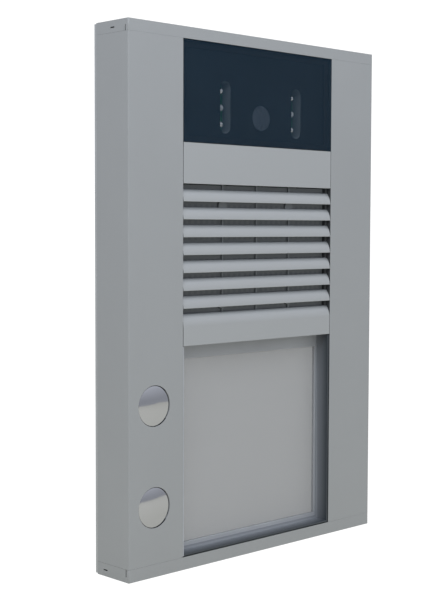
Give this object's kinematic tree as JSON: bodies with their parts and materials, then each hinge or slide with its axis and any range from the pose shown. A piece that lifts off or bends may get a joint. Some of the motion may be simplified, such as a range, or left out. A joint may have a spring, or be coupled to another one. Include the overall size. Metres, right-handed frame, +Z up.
{
  "type": "door intercom panel",
  "caption": "Upright wall-mounted door intercom panel with a smoked camera window, louvred speaker grille, backlit name plate and round call buttons.",
  "frame": {"origin": "centre of the back face, which lies on the wall", "axes": "+X right and +Z up seen from the front; +Y points into the wall"},
  "size_m": [0.1606, 0.0237, 0.24],
  "materials": {
    "silver_paint": "satin silver powder coat",
    "silver_grille": "satin silver lacquer",
    "smoked_pane": "polished smoked polycarbonate",
    "black_foam": "closed-cell foam",
    "black_plastic": "fine spark-eroded texture",
    "grey_plastic": "fine spark-eroded texture",
    "natural_plastic": "natural moulded",
    "cast_alloy": "as cast",
    "screw_steel": "zinc plated",
    "button_steel": "polished stainless steel",
    "spring_steel": "drawn wire",
    "board_green": "solder mask",
    "chip_black": "moulded epoxy",
    "terminal_green": "moulded",
    "lens_glass": "coated glass",
    "lamp_clear": "clear epoxy",
    "lamp_shade": "moulded",
    "mesh_black": "woven",
    "cone_paper": "treated paper",
    "magnet_dark": "ferrite",
    "rubber_black": "matt",
    "capsule_metal": "plain",
    "cover_clear": "fine satin polycarbonate",
    "card_white": "matt card",
    "diffuser_opal": "opal acrylic"
  },
  "bodies": {
    "panel": {"left_profile": "silver_paint", "right_profile": "silver_paint", "top_cap": "silver_paint", "bottom_cap": "silver_paint", "cap_screws": "screw_steel", "locking_screw": "screw_steel", "base_plate": "cast_alloy", "module_screws": "screw_steel", "cable_grommet": "rubber_black", "camera_window": "smoked_pane", "window_gasket": "black_foam", "camera_bezel": "black_plastic", "camera_shield": "lens_glass", "camera_cradle": "black_plastic", "cradle_screws": "screw_steel", "left_lamp_shade": "lamp_shade", "right_lamp_shade": "lamp_shade", "left_lamp_board": "board_green", "right_lamp_board": "board_green", "left_lamps": "lamp_clear", "right_lamps": "lamp_clear", "speaker_grille": "silver_grille", "dust_mesh": "mesh_black", "speaker_gasket": "black_foam", "speaker_basket": "screw_steel", "speaker_cone": "cone_paper", "speaker_magnet": "magnet_dark", "speaker_screws": "screw_steel", "microphone_boot": "rubber_black", "microphone_capsule": "capsule_metal", "main_board": "board_green", "board_screws": "screw_steel", "main_board_parts": "chip_black", "terminal_block": "terminal_green", "terminal_screws": "screw_steel", "nameplate_frame": "grey_plastic", "nameplate_cover": "cover_clear", "nameplate_card": "card_white", "nameplate_diffuser": "diffuser_opal", "backlight_board": "board_green", "backlight_leds": "diffuser_opal", "button_guide_upper": "natural_plastic", "button_guide_lower": "natural_plastic", "button_spring_upper": "spring_steel", "button_spring_lower": "spring_steel", "button_switches": "chip_black", "button_board": "board_green", "button_board_screws": "screw_steel"},
    "upper_button": {"call_button_upper": "button_steel"},
    "lower_button": {"call_button_lower": "button_steel"},
    "camera_ring": {"camera_yoke": "black_plastic"},
    "camera_head": {"camera_body": "black_plastic", "camera_lens_barrel": "black_plastic", "camera_lens_glass": "lens_glass", "camera_sensor_board": "board_green"}
  },
  "joints": [
    {"name": "call_button_upper_press", "type": "slide", "parent": "panel", "child": "upper_button", "axis": [0, 1, 0], "range_m": [0, 0.0012], "stiffness_N_per_m": 1500, "springref_m": -0.0015, "deforming": ["button_spring_upper"]},
    {"name": "call_button_lower_press", "type": "slide", "parent": "panel", "child": "lower_button", "axis": [0, 1, 0], "range_m": [0, 0.0012], "stiffness_N_per_m": 1500, "springref_m": -0.0015, "deforming": ["button_spring_lower"]},
    {"name": "camera_pan", "type": "hinge", "parent": "panel", "child": "camera_ring", "pos_m": [0.0025, -0.01, 0.0833], "axis": [0, 0, 1], "range_deg": [-15, 15]},
    {"name": "camera_tilt", "type": "hinge", "parent": "camera_ring", "child": "camera_head", "pos_m": [0.0025, -0.01, 0.0833], "axis": [1, 0, 0], "range_deg": [-15, 15]}
  ]
}
